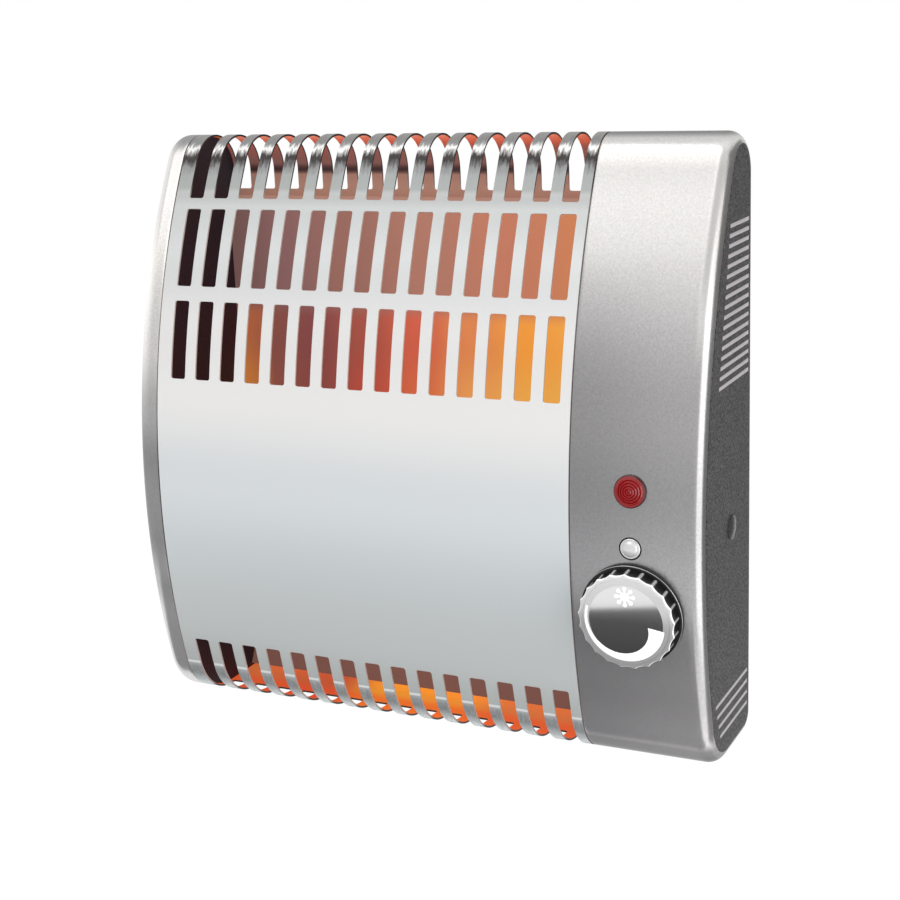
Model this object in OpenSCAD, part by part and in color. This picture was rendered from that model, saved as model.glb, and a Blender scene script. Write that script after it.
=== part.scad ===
// Wall-hung convector heater: slotted steel sleeve between two moulded ends.
// Millimetres. +X is the control side, -Y is the front and +Z is up.
// The origin is the middle of the flat face that lies on the wall.

/* [Casing] */
// Height of the casing
height = 300; // [292:1:308]
// Width of the casing over both moulded ends
width = 306; // [302:0.5:310]
// Depth of the casing from the wall to the front
depth = 83; // [81:0.5:86]
// Radius of the bowed front, seen from the side
front_r = 360; // [345:5:380]
// Radius of the bend at the top
top_r = 20; // [18:0.5:21]
// Radius of the bend at the bottom of the front
bottom_r = 30; // [27:0.5:32]
// Radius of the bend where the bottom meets the back
back_r = 12; // [11:0.5:14]
// Width of the left end cap
cap_w = 13; // [12.5:0.5:15]
// Width of the control housing
control_w = 64; // [62.5:0.5:66]
// Dark seam between the sleeve and each end
seam = 0.6; // [0.4:0.1:0.8]
// Rounding of the outer edge of both ends
edge_r = 7; // [5:0.5:8]
// Wall of the moulded ends
wall_t = 2.5; // [2:0.1:2.8]
// Sheet of the sleeve
sheet_t = 1; // [0.8:0.1:1]

/* [Grille] */
// Slots in each row
slot_count = 15; // [11:1:15]
// Width of one slot
slot_w = 8.6; // [7:0.2:9.4]
// Distance from slot to slot
slot_pitch = 14.75; // [14.25:0.25:14.75]
// Left side of the casing to the first slot
slot_start = 21.4; // [21:0.2:22]
// Cut corner of a slot
slot_corner = 1; // [0.5:0.1:1.5]
// Lower end of the slots that run over the top, below the crest
row_1_end = 30; // [26:0.5:31]
// Top of the second row, below the crest
row_2_top = 35.2; // [34.5:0.1:37]
// Length of the slots in the second row
row_2_len = 37.7; // [34:0.1:39]
// Top of the third row, below the crest
row_3_top = 80.1; // [79.2:0.1:84]
// Length of the slots in the third row
row_3_len = 38.9; // [34:0.1:42]
// Top of the bottom row, above the bottom
row_4_top = 38; // [36:0.1:44]
// How far the bottom row runs in under the casing past the bend
row_4_turn = 1.5; // [1:0.5:4]

/* [Side louvres] */
// Slots in the upper group
upper_count = 17; // [12:1:17]
// Pitch of the upper group
upper_pitch = 4.48; // [4.1:0.02:4.52]
// Highest slot of the upper group, below the crest
upper_top = 41; // [40:0.5:46]
// Slots in the lower group
lower_count = 4; // [2:1:4]
// Pitch of the lower group
lower_pitch = 5.8; // [5.2:0.1:6]
// Highest slot of the lower group, above the bottom
lower_top = 34.4; // [34:0.1:42]
// Height of one louvre slot
louvre_h = 1.8; // [1.4:0.1:2]
// Rise of a louvre slot from the outside to the inside of the wall
louvre_rise = 1.6; // [0.8:0.1:1.8]

/* [Controls] */
// Knob, stud and lamp, from the right side of the casing
control_in = 34.1; // [32:0.1:35]
// Height of the knob centre above the bottom
knob_z = 84.3; // [83:0.1:87]
// Height of the index stud above the bottom
index_z = 116.5; // [115:0.5:119]
// Height of the lamp above the bottom
lamp_z = 143.5; // [141:0.5:149]
// Knob radius to the crests
knob_r = 23.6; // [22.6:0.1:24]
// Crests round the knob
crest_count = 21; // [18:1:24]
// Depth of the scallops between the crests
scallop = 0.9; // [0.6:0.1:1.2]
// Height of the knob body above the panel
knob_h = 7.6; // [7.2:0.2:9]
// Gap between the knob and the panel
knob_gap = 0.6; // [0.5:0.1:1]
// Thickness of the bright face plate
face_t = 1.2; // [0.8:0.1:1.6]
// Radius of the spindle
spindle_r = 3; // [2.8:0.05:3]
// Radius of the threaded bush
bush_r = 5; // [4.8:0.1:5]
// Radius of the lamp lens flange
lens_r = 7.75; // [7.5:0.05:8]
// Radius of the index stud head
stud_r = 4.8; // [4.3:0.1:5]
// Height of the dome on the index stud
stud_dome = 2; // [1.5:0.1:2.2]

/* [Heater] */
// Radius of the sheathed element
tube_r = 4.2; // [3.8:0.1:4.4]
// Distance between the two legs of the element
leg_gap = 36; // [34:1:38]
// Height of the element centre above the bottom
element_z = 86; // [82:1:90]
// Element centre in front of the wall
element_y = 42; // [40:0.5:44]
// Fins on the element
fin_count = 21; // [15:1:21]
// Gap between the last fin and the partition
fin_gap = 20; // [16:0.5:26]
// Heat shield in front of the wall
shield_y = 7.7; // [7.5:0.1:9]

/* [Wall and mains] */
// Distance between the two keyholes
hang_gap = 160; // [150:1:170]
// Radius of a keyhole entry
hang_r = 4.5; // [4:0.1:5]
// Bore of the cable gland
cable_r = 3.5; // [3:0.1:3.8]

/* [Hidden] */
$fn = 96;
front_fn = 360;
small = 0.1;
fit = 0.15;
reach = 60;

// Side view: the front arc runs smoothly into the top bend and the bottom bend, the top
// bend into the back, and the bottom bend into the flat bottom.
top_a = acos(-(front_r - depth + top_r) / (front_r - top_r));
front_y = front_r - depth;
front_z = height - top_r - (front_r - top_r) * sin(top_a);
bottom_a = 180 + asin((front_z - bottom_r) / (front_r - bottom_r));
low_y = front_y + (front_r - bottom_r) * cos(bottom_a);
c_front = [front_y, front_z];
c_top = [-top_r, height - top_r];
c_low = [low_y, bottom_r];
c_back = [-back_r, back_r];
side_x = width / 2;
cap_x = -side_x + cap_w;
house_x = side_x - control_w;
control_x = side_x - control_in;
slot_x = -side_x + slot_start;
row_y = low_y + row_4_turn;
lip_in = sheet_t + fit;
lip_t = 2.3;
left_lip = 6.1;
right_lip = 5;
plate_x = cap_x - seam / 2 + left_lip + small;
plate_t = 1;
part_x = house_x + 0.5;
part_t = 1.2;
part_in = lip_in + lip_t + fit;
screw_r = 1.2;
screw_y = [18, 36];
left_screw_x = cap_x - seam / 2 + 2.7;
right_screw_x = house_x + seam / 2 - 2.5;
boss_r = 2.3;
boss_z = 7;
louvre_back = 9.3;
plug_y = 37.2;
plug_z = 116.7;
plug_r = 6;
plate_over = 0.2;
skirt_over = 1.3;
skirt_t = 1.2;
knob_pocket = knob_h - 2.8;
bush_top = knob_pocket - 1;
body_w = 34;
body_d = 22;
body_top = -3.1;
face_w = knob_h + face_t;
flake_up = 12.6;
gland_x = side_x - 33;
gland_y = 20;
gland_r = 6.4;
bend_x = plate_x + plate_t + leg_gap / 2 + 20.1;
fin_x = bend_x + 12;
fin_d = 34;
fin_t = 0.5;
fin_pitch = (part_x - fin_gap - fin_t - fin_x) / (fin_count - 1);
leg_end_x = house_x + 15;
leg_z = [element_z - leg_gap / 2, element_z + leg_gap / 2];
block_w = 36;
block_y0 = wall_t + small;
block_d = 15;
block_z = 48;
block_h = 16;
bulb_x = side_x - 13;
bulb_z = 14;
bulb_r = 2.5;
cut_z = 150;
earth_y = 22;
earth_z = 34;

// Point on the bowed panel: u along X, v up the panel, w out of it, from the controls' line.
function panel_point(z, u, v, w) =
  let (tilt = asin((z - front_z) / front_r))
  [control_x + u, front_y - front_r * cos(tilt) + v * sin(tilt) - w * cos(tilt),
   z + v * cos(tilt) + w * sin(tilt)];
function front_depth(z) =
  (z < bottom_r + bottom_r * sin(bottom_a))
    ? sqrt(bottom_r * bottom_r - (bottom_r - z) * (bottom_r - z)) - low_y
    : sqrt(front_r * front_r - (z - front_z) * (z - front_z)) - front_y;
bulb_y = front_depth(bulb_z) - 11.4;
bulb_len = 38;

function far_at(c, a) = c + reach * [cos(a), sin(a)];
function wedge(c, a0, a1) = [c, far_at(c, a0), far_at(c, (a0 + a1) / 2), far_at(c, a1)];
front_mid = (top_a + bottom_a) / 2;
front_cell = [
  c_top, far_at(c_top, top_a),
  c_front + (front_r + reach) * [cos(front_mid), sin(front_mid)],
  far_at(c_low, bottom_a), c_low
];
top_cell = wedge(c_top, 0, top_a);
low_cell = wedge(c_low, bottom_a, 270);
back_cell = wedge(c_back, 270, 360);

// Heights in the modules count from the bottom of the casing.
module lift() {
  translate([0, 0, -height / 2])
    children();
}

// A flat (Y, Z) shape pulled along X, and a flat (X, Z) shape pulled along Y.
module along_x(x0, x1) {
  translate([x0, 0, 0])
    rotate([90, 0, 90])
      linear_extrude(x1 - x0)
        children();
}

module along_y(y0, y1) {
  translate([0, y1, 0])
    rotate([90, 0, 0])
      linear_extrude(y1 - y0)
        children();
}

module block(p, q) {
  translate(p)
    cube(q - p);
}

// Puts the centre of a bend in place in a coarse and a fine step, so that arcs which run
// into each other meet to a millionth.
module centre_at(c) {
  coarse = [for (v = c) round(1000 * v) / 1000];
  translate(coarse)
    translate(c - coarse)
      children();
}

module disc_part(c, r, cell, fn) {
  intersection() {
    centre_at(c)
      circle(r, $fn = fn);
    polygon(cell);
  }
}

// Outline of the casing seen from the side, drawn in by d.
module profile(d) {
  polygon([
    c_low, [low_y, d], [-back_r, d], c_back,
    [-d, back_r], [-d, height - top_r], c_top
  ]);
  disc_part(c_front, front_r - d, front_cell, front_fn);
  disc_part(c_top, top_r - d, top_cell, $fn);
  disc_part(c_low, bottom_r - d, low_cell, $fn);
  disc_part(c_back, back_r - d, back_cell, $fn);
}

module ring(d0, d1) {
  difference() {
    profile(d0);
    profile(d1);
  }
}

// Section through the rim of a moulded end: rim, rounded edge, start of the side wall.
module rim_solid(r, w, t) {
  e = edge_r;
  inner = e - t;
  low = (t == 0) ? 0 : -1;
  back = (t == 0) ? 2 : 3;
  translate([r - e - back, low])
    square([e + back - t, w - e - low]);
  translate([r - e - back, w - e])
    square([back, inner]);
  intersection() {
    translate([r - e, w - e])
      circle(inner);
    translate([r - e, w - e])
      square(inner);
  }
}

module rim_section(r, w) {
  difference() {
    rim_solid(r, w, 0);
    rim_solid(r, w, wall_t);
  }
}

module swept_rim(c, r, a0, a1, cell, w, fn) {
  intersection() {
    centre_at([0, c[0], c[1]])
      rotate([90, 0, 90])
        rotate_extrude(angle = a1 - a0 + 2, start = a0 - 1, $fn = fn)
          rim_section(r, w);
    along_x(-1, w + 1)
      polygon(cell);
  }
}

// One moulded end: open at X 0, closed by its side wall at X w, with a lip for the sleeve.
module end_shell(w, lip) {
  swept_rim(c_front, front_r, top_a, bottom_a, front_cell, w, front_fn);
  swept_rim(c_top, top_r, 0, top_a, top_cell, w, $fn);
  swept_rim(c_low, bottom_r, bottom_a, 270, low_cell, w, $fn);
  swept_rim(c_back, back_r, 270, 360, back_cell, w, $fn);
  translate([0, 0, height - top_r])
    rotate([180, 0, 90])
      linear_extrude(height - top_r - back_r)
        rim_section(0, w);
  translate([0, -back_r, 0])
    rotate([90, 90, 0])
      linear_extrude(-back_r - low_y)
        rim_section(0, w);
  along_x(w - wall_t, w)
    profile(edge_r + 1);
  along_x(-lip, 3)
    ring(lip_in, lip_in + lip_t);
}

module screw_boss(x) {
  for (y = screw_y)
    translate([x, -y, lip_in + 0.5])
      cylinder(h = boss_z - lip_in - 0.5, r = boss_r);
}

module screw_holes(x, r) {
  for (y = screw_y)
    translate([x, -y, -1])
      cylinder(h = boss_z + 2, r = r);
}

// Frame on the bowed panel at height z: local Z points out of the panel, local Y up it.
module at_panel(z) {
  tilt = asin((z - front_z) / front_r);
  translate([control_x, front_y - front_r * cos(tilt), z])
    rotate([90 - tilt, 0, 0])
      children();
}

module post(w0, w1, r) {
  translate([0, 0, w0])
    cylinder(h = w1 - w0, r = r);
}

module tube(w0, w1, r, bore) {
  difference() {
    post(w0, w1, r);
    post(w0 - 1, w1 + 1, bore);
  }
}

module slot_row(z0, z1) {
  c = slot_corner;
  k = 0.3 * slot_corner;
  for (i = [0 : slot_count - 1]) {
    a = slot_x + i * slot_pitch;
    b = a + slot_w;
    polygon([
      [a, z0 + c], [a + k, z0 + k], [a + c, z0], [b - c, z0], [b - k, z0 + k], [b, z0 + c],
      [b, z1 - c], [b - k, z1 - k], [b - c, z1], [a + c, z1], [a + k, z1 - k], [a, z1 - c]
    ]);
  }
}

module keyhole() {
  circle(hang_r);
  translate([-2.5, 0])
    square([5, 10]);
  translate([0, 10])
    circle(2.5);
}

// Slotted sheet wrapped round the whole casing, the most skilled piece.
module grille_sleeve() {
  color("lightsteelblue")
    lift()
      difference() {
        along_x(cap_x + seam / 2, house_x - seam / 2)
          ring(0, sheet_t);
        along_y(-depth - 5, 5)
          slot_row(height - row_1_end, height + 10);
        along_y(-depth - 5, -25)
          slot_row(height - row_2_top - row_2_len, height - row_2_top);
        along_y(-depth - 5, -25)
          slot_row(height - row_3_top - row_3_len, height - row_3_top);
        along_y(-depth - 5, row_y)
          slot_row(-10, row_4_top);
        for (s = [-1, 1])
          translate([s * hang_gap / 2 - 25, 0, height - 60])
            along_y(-3, 2)
              keyhole();
        screw_holes(left_screw_x, screw_r + 0.2);
        screw_holes(right_screw_x, screw_r + 0.2);
      }
}

module left_end_cap() {
  color("gainsboro")
    lift()
      difference() {
        union() {
          translate([cap_x - seam / 2, 0, 0])
            mirror([1, 0, 0])
              end_shell(cap_w - seam / 2, left_lip);
          screw_boss(left_screw_x);
        }
        screw_holes(left_screw_x, screw_r + 0.05);
      }
}

module left_end_plate() {
  color("dimgray")
    lift()
      along_x(plate_x, plate_x + plate_t)
        profile(sheet_t + 0.3);
}

module louvre(z, y_front) {
  rise = louvre_rise / wall_t;
  x0 = side_x - wall_t - 1;
  x1 = side_x + 1;
  z0 = z - louvre_h / 2 + rise * (side_x - x0);
  z1 = z - louvre_h / 2 - rise;
  along_y(y_front, -louvre_back)
    polygon([[x0, z0], [x1, z1], [x1, z1 + louvre_h], [x0, z0 + louvre_h]]);
}

module control_housing() {
  color("whitesmoke")
    lift()
      difference() {
        union() {
          translate([house_x + seam / 2, 0, 0])
            end_shell(control_w - seam / 2, right_lip);
          screw_boss(right_screw_x);
        }
        screw_holes(right_screw_x, screw_r + 0.05);
        for (i = [0 : upper_count - 1])
          louvre(height - upper_top - i * upper_pitch, -39.3 - i * 1.1);
        for (i = [0 : lower_count - 1])
          louvre(lower_top - i * lower_pitch, -62.1 + i * 2.4);
        at_panel(knob_z)
          post(-8, 4, bush_r + 0.2);
        at_panel(lamp_z)
          post(-8, 4, lens_r - 1.05);
        at_panel(index_z)
          post(-8, 4, 2.1);
        at_panel(index_z)
          post(-0.8, 4, stud_r + 0.5);
        translate([side_x - 6, -plug_y, plug_z])
          rotate([0, 90, 0])
            post(0, 10, plug_r - 1.05);
        translate([gland_x, -gland_y, -1])
          post(0, 8, gland_r + small);
      }
}

module partition_plate() {
  color("silver")
    lift()
      difference() {
        along_x(part_x, part_x + part_t)
          profile(part_in);
        for (z = leg_z)
          translate([part_x - 1, -element_y, z])
            rotate([0, 90, 0])
              post(0, 4, tube_r + 2.3);
      }
}

// Bare sheet behind the element; its foot swings forward to meet the incoming air.
module heat_shield() {
  t = 0.6;
  swing_r = 90;
  swing_z = 46;
  swing_y = -shield_y - swing_r;
  top_z = height - 33;
  color("rosybrown")
    lift()
      difference() {
        along_x(plate_x + plate_t + small, part_x - small) {
          translate([-shield_y - t, swing_z])
            square([t, top_z - swing_z]);
          intersection() {
            translate([swing_y, swing_z])
              difference() {
                circle(swing_r, $fn = 240);
                circle(swing_r - t, $fn = 240);
              }
            translate([-40, 3])
              square([40, swing_z - 3]);
          }
        }
        block([house_x + seam / 2 - right_lip - 2 * fit, -depth, 0],
              [side_x, 0, boss_z + 2 * fit]);
      }
}

module heating_element() {
  color("slategray")
    lift() {
      for (z = leg_z)
        translate([bend_x, -element_y, z])
          rotate([0, 90, 0])
            post(0, leg_end_x - bend_x, tube_r);
      translate([bend_x, -element_y, element_z])
        rotate([90, 0, 0])
          rotate_extrude(angle = 180, start = 90)
            translate([leg_gap / 2, 0])
              circle(tube_r);
    }
}

module element_fins() {
  color("lightslategray")
    lift()
      for (i = [0 : fin_count - 1])
        translate([fin_x + i * fin_pitch, -element_y, element_z])
          rotate([90, 0, 90])
            linear_extrude(fin_t)
              difference() {
                square([fin_d, leg_gap + 22], center = true);
                translate([0, leg_gap / 2])
                  circle(tube_r + 0.05);
                translate([0, -leg_gap / 2])
                  circle(tube_r + 0.05);
              }
}

module element_insulators() {
  color("ivory")
    lift()
      for (z = leg_z)
        translate([part_x + part_t, -element_y, z])
          rotate([0, 90, 0])
            difference() {
              union() {
                post(small, 3, tube_r + 4.4);
                post(-part_t - 1.5, 5, tube_r + 2.2);
              }
              post(-9, 9, tube_r + 0.1);
            }
}

module element_bracket() {
  x0 = plate_x + plate_t + small;
  color("darkgray")
    lift()
      difference() {
        block([x0, -element_y - 5, element_z - 7], [bend_x - leg_gap / 2 + 1, -element_y + 5, element_z + 7]);
        translate([bend_x, -element_y, element_z])
          rotate([90, 0, 0])
            rotate_extrude(angle = 360, start = 0)
              translate([leg_gap / 2, 0])
                circle(tube_r + 0.1);
      }
}

module element_terminals() {
  color("goldenrod")
    lift()
      for (z = leg_z)
        translate([leg_end_x, -element_y, z])
          rotate([0, 90, 0]) {
            post(small, 2, tube_r - 0.6);
            post(1, 9, 1.2);
          }
}

module thermal_cutout() {
  color("saddlebrown")
    lift()
      translate([part_x + part_t + small, -element_y, cut_z])
        rotate([0, 90, 0]) {
          post(0, 1, 10);
          post(0.5, 6, 8.5);
          for (s = [-1, 1])
            translate([-3, s * 4.5 - 0.4, 5])
              cube([6, 0.8, 7]);
        }
}

module thermostat_body() {
  color("burlywood")
    lift()
      at_panel(knob_z)
        difference() {
          union() {
            translate([-body_w / 2, -body_w / 2, body_top - body_d])
              cube([body_w, body_w, body_d]);
            post(body_top - 1, -wall_t - small, 7);
            post(body_top - 1, bush_top, bush_r);
            for (s = [-1, 1])
              translate([s * 9 - 3, -0.4, body_top - body_d - 7])
                cube([6, 0.8, 8]);
          }
          post(body_top - 10, 9, spindle_r + 0.05);
        }
}

module bush_nut() {
  color("silver")
    lift()
      at_panel(knob_z)
        difference() {
          translate([0, 0, small])
            cylinder(h = 2.9, r = 8.08, $fn = 6);
          post(-1, 5, bush_r + 0.05);
        }
}

module thermostat_spindle() {
  color("lightgray")
    lift()
      at_panel(knob_z)
        post(body_top - 9.5, knob_h - 1, spindle_r);
}

// Round outline with pointed crests between shallow hollows, crests at radius r.
module crest_outline(r, deep) {
  half = 180 / crest_count;
  rise = r * cos(half) - (r - deep);
  chord = r * sin(half);
  cut_r = (chord * chord + rise * rise) / (2 * rise);
  difference() {
    circle(r + 0.4);
    for (i = [0 : crest_count - 1])
      rotate(90 + (i + 0.5) * 360 / crest_count)
        translate([r - deep + cut_r, 0])
          circle(cut_r);
  }
}

module thermostat_knob() {
  color("dimgray")
    lift()
      at_panel(knob_z)
        difference() {
          union() {
            post(knob_gap, knob_gap + skirt_t, knob_r + skirt_over);
            translate([0, 0, knob_gap])
              linear_extrude(knob_h - knob_gap)
                crest_outline(knob_r - plate_over, scallop);
          }
          post(-1, knob_pocket, 9);
          tube(-1, knob_pocket, knob_r - 3.6, 11.5);
          post(knob_pocket - 1, knob_h - 0.8, spindle_r + 0.03);
        }
}

module knob_face() {
  color("silver")
    lift()
      at_panel(knob_z)
        translate([0, 0, knob_h])
          difference() {
            linear_extrude(face_t)
              crest_outline(knob_r, scallop);
            tube(face_t - 0.25, face_t + 1, knob_r - 2.3, knob_r - 2.7);
          }
}

// White print on the face: a snowflake at the top and a crescent that grows clockwise.
module knob_markings() {
  turn = [for (i = [0 : 24]) i / 24];
  far = [for (t = turn) knob_r - 3.5 - 1.4 * t * t];
  near = [for (t = turn) knob_r - 4.6 - 1.5 * t - 6.7 * t * t];
  at = [for (t = turn) [cos(162 + 189 * t), sin(162 + 189 * t)]];
  outer = [for (i = [0 : 24]) far[i] * at[i]];
  inner = [for (i = [24 : -1 : 0]) near[i] * at[i]];
  color("white")
    lift()
      at_panel(knob_z)
        translate([0, 0, face_w + 0.02])
          linear_extrude(0.15) {
            polygon(concat(outer, inner));
            for (a = [0 : 45 : 315])
              translate([0, flake_up])
                rotate(a) {
                  translate([1.2, -0.45])
                    square([3, 0.9]);
                  translate([4.1, 0])
                    circle(0.95, $fn = 24);
                }
            translate([0, flake_up])
              circle(1.7);
          }
}

module indicator_lens() {
  seat = lens_r - 1.15;
  color("red")
    lift()
      at_panel(lamp_z)
        difference() {
          union() {
            post(0.1, 1.4, lens_r);
            post(-10, 0.6, seat);
            post(1, 2.2, lens_r - 1.6);
            post(2, 3, lens_r - 3.4);
          }
          post(-11, 0.4, seat - 1.4);
        }
}

module indicator_lamp() {
  seat = lens_r - 1.15;
  color("orange")
    lift()
      at_panel(lamp_z) {
        post(-13, -10.1, seat);
        post(-10.5, -3, 2.4);
      }
}

module index_stud() {
  ball = (stud_r * stud_r + stud_dome * stud_dome) / (2 * stud_dome);
  color("lightgray")
    lift()
      at_panel(index_z) {
        post(-0.7, 0, stud_r);
        post(-5, -0.5, 2);
        intersection() {
          translate([0, 0, stud_dome - ball])
            sphere(ball);
          post(0, 4, stud_r);
        }
      }
}

module terminal_block() {
  color("white")
    lift()
      difference() {
        block(
          [control_x - block_w / 2, -block_y0 - block_d, block_z],
          [control_x + block_w / 2, -block_y0, block_z + block_h]
        );
        for (i = [-1, 0, 1])
          for (z = [4, 12])
            translate([control_x + i * 11.5, -block_y0 - block_d + 4, block_z + z])
              rotate([90, 0, 0])
                post(0, 6, 2.4);
      }
}

module terminal_screws() {
  color("gold")
    lift()
      for (i = [-1, 0, 1])
        for (z = [4, 12])
          translate([control_x + i * 11.5, -block_y0 - block_d + 3.9, block_z + z])
            rotate([90, 0, 0])
              difference() {
                post(0, 2.4, 2.2);
                translate([-3, -0.3, 1.8])
                  cube([6, 0.6, 2]);
              }
}

module earth_stud() {
  color("gold")
    lift()
      translate([part_x + part_t + small, -earth_y, earth_z])
        rotate([0, 90, 0]) {
          post(0, 0.8, 5);
          post(0.5, 9, 2);
          cylinder(h = 4, r = 4.04, $fn = 6);
        }
}

module cable_gland() {
  color("dimgray")
    lift()
      translate([gland_x, -gland_y, 0])
        difference() {
          union() {
            post(-1.5, -0.05, gland_r + 2.6);
            post(-1, 6, gland_r);
            post(wall_t + small, 4.5, gland_r + 2.2);
          }
          post(-3, 8, cable_r);
        }
}

// A bent wire, drawn as short rods between its corner points.
module wire(points, r) {
  for (i = [0 : len(points) - 2])
    hull() {
      translate(points[i])
        sphere(r, $fn = 8);
      translate(points[i + 1])
        sphere(r, $fn = 8);
    }
}

module air_sensor() {
  cx = control_x;
  color("peru")
    lift() {
      translate([bulb_x, -bulb_y, bulb_z])
        rotate([-90, 0, 0])
          post(0, bulb_len, bulb_r);
      wire([
        [bulb_x, bulb_len + 0.5 - bulb_y, bulb_z], [bulb_x + 4, -12, bulb_z + 10],
        [bulb_x + 5, -14, bulb_z + 46], [bulb_x + 5, 16 - bulb_y, knob_z - 4.5],
        panel_point(knob_z, body_w / 2 + 1, 1.4, -16.2)
      ], 0.8);
    }
}

module sensor_clips() {
  color("white")
    lift()
      for (y = [bulb_y - 32, bulb_y - 18])
        difference() {
          block([bulb_x - 4, -y - 2, wall_t + small], [bulb_x + 4, -y + 2, bulb_z + 3]);
          translate([bulb_x, -y - 5, bulb_z])
            rotate([-90, 0, 0])
              post(0, 10, bulb_r + 0.1);
          block([bulb_x - 1.8, -y - 5, bulb_z], [bulb_x + 1.8, -y + 5, bulb_z + 9]);
        }
}

module side_plug() {
  ball = 28;
  rim = plug_r;
  color("dimgray")
    lift()
      translate([side_x, -plug_y, plug_z])
        rotate([0, 90, 0]) {
          post(-wall_t - 2, 0.5, rim - 1.15);
          intersection() {
            post(0.1, 3, rim);
            translate([0, 0, 1.3 - ball])
              sphere(ball);
          }
        }
}

module end_screws() {
  color("silver")
    lift()
      for (x = [left_screw_x, right_screw_x])
        for (y = screw_y)
          translate([x, -y, 0])
            difference() {
              union() {
                post(-1.2, -0.05, 2.4);
                post(-0.5, boss_z - 1, screw_r);
              }
              translate([-0.3, -3, -2])
                cube([0.6, 6, 1.3]);
            }
}

module lead_set() {
  cx = control_x;
  up = block_z + block_h + 1.3;
  tab_w = body_top - body_d - 8.35;
  tab_in = panel_point(knob_z, -9, 0, tab_w);
  tab_out = panel_point(knob_z, 9, 0, tab_w);
  lamp_a = panel_point(lamp_z, 2, 0, -14.4);
  lamp_b = panel_point(lamp_z, -3, 1, -14.4);
  cut_a = [part_x + 14.6, -element_y - 4.5, cut_z];
  cut_b = [part_x + 14.6, -element_y + 4.5, cut_z];
  pin_low = [leg_end_x + 10.4, -element_y, leg_z[0]];
  pin_high = [leg_end_x + 10.4, -element_y, leg_z[1]];
  color("firebrick")
    lift() {
      wire([[cx - 11, -10, up], [cx - 10, -14, up + 8], tab_in + [0, 12.8, -5.8], tab_in], 1.1);
      wire([tab_out, tab_out + [0, 4.8, 20], lamp_a + [0, 15, -8], lamp_a], 1.1);
      wire([tab_out, tab_out + [-3, 3.8, 20], cut_a + [9.9, 0.5, -14], cut_a], 1.1);
      wire([lamp_b, lamp_b + [-1, 17, -16], [cx + 12, -14, knob_z + 10], [cx + 12, -10, up]], 1.1);
      wire([pin_low, [cx - 1, -34, up + 0.7], [cx, -12, up + 6.7], [cx, -10, up]], 1.1);
      wire([cut_b, cut_b + [6.4, 4, -10], pin_high + [3.6, 6, 14], pin_high], 1.1);
      wire([[part_x + 11.6, -earth_y, earth_z], [cx - 9, -20, 38], [cx - 9, -12, block_z - 1.3]], 1.1);
    }
}

grille_sleeve();
left_end_cap();
left_end_plate();
control_housing();
partition_plate();
heat_shield();
heating_element();
element_fins();
element_insulators();
element_bracket();
element_terminals();
thermal_cutout();
thermostat_body();
bush_nut();
thermostat_spindle();
thermostat_knob();
knob_face();
knob_markings();
indicator_lens();
indicator_lamp();
index_stud();
terminal_block();
terminal_screws();
earth_stud();
cable_gland();
air_sensor();
sensor_clips();
side_plug();
end_screws();
lead_set();
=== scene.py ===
import bmesh
import bpy
from math import acos, asin, cos, pi, radians, sin, tau
from mathutils import Matrix, Vector


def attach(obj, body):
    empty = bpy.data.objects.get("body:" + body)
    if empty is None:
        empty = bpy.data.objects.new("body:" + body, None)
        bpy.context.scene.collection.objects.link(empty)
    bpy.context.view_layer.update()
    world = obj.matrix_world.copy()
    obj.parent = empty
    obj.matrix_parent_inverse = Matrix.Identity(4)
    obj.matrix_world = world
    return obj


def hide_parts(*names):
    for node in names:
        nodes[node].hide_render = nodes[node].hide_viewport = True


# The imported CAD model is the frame: its nodes, its two bodies and the knob's joint.
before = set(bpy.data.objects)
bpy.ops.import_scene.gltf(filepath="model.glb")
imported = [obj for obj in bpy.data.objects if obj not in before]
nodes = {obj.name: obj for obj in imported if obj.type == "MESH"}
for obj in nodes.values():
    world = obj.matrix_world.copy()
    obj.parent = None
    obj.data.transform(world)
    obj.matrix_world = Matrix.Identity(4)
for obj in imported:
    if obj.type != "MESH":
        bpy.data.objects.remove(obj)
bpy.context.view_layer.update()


# Slotted sleeve.
# One sheet of 1 mm steel, punched while flat, then rolled round the casing and painted
# a pale blue-grey satin. The skilled piece: everything else hangs on its curve.
half_height, depth = 0.150, 0.083
top_r, front_r, low_r, back_r = 0.020, 0.360, 0.030, 0.012
sheet_thick = 0.001


def bends_of_the_casing():
    """(centre, radius, first angle, last angle) of the four bends, seen from the side."""
    top_mid = (-top_r, half_height - top_r)
    top_turn = acos(-(front_r - depth + top_r) / (front_r - top_r))
    front_mid = (front_r - depth, top_mid[1] - (front_r - top_r) * sin(top_turn))
    low_z = low_r - half_height
    low_turn = pi + asin((front_mid[1] - low_z) / (front_r - low_r))
    low_mid = (front_mid[0] + (front_r - low_r) * cos(low_turn), low_z)
    return [
        (top_mid, top_r, 0.0, top_turn),
        (front_mid, front_r, top_turn, low_turn),
        (low_mid, low_r, low_turn, 1.5 * pi),
        ((-back_r, back_r - half_height), back_r, 1.5 * pi, tau),
    ]


bends = bends_of_the_casing()
front_bend, low_bend, back_bend = bends[1:]
bend_starts = []
length = half_height - top_r
for centre, radius, first, last in bends:
    if centre == back_bend[0]:
        length += back_bend[0][0] - low_bend[0][0]
    bend_starts.append(length)
    length += radius * (last - first)
around = length + half_height - back_r
flat_starts = bend_starts[2] + low_r * (low_bend[3] - low_bend[2])


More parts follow.
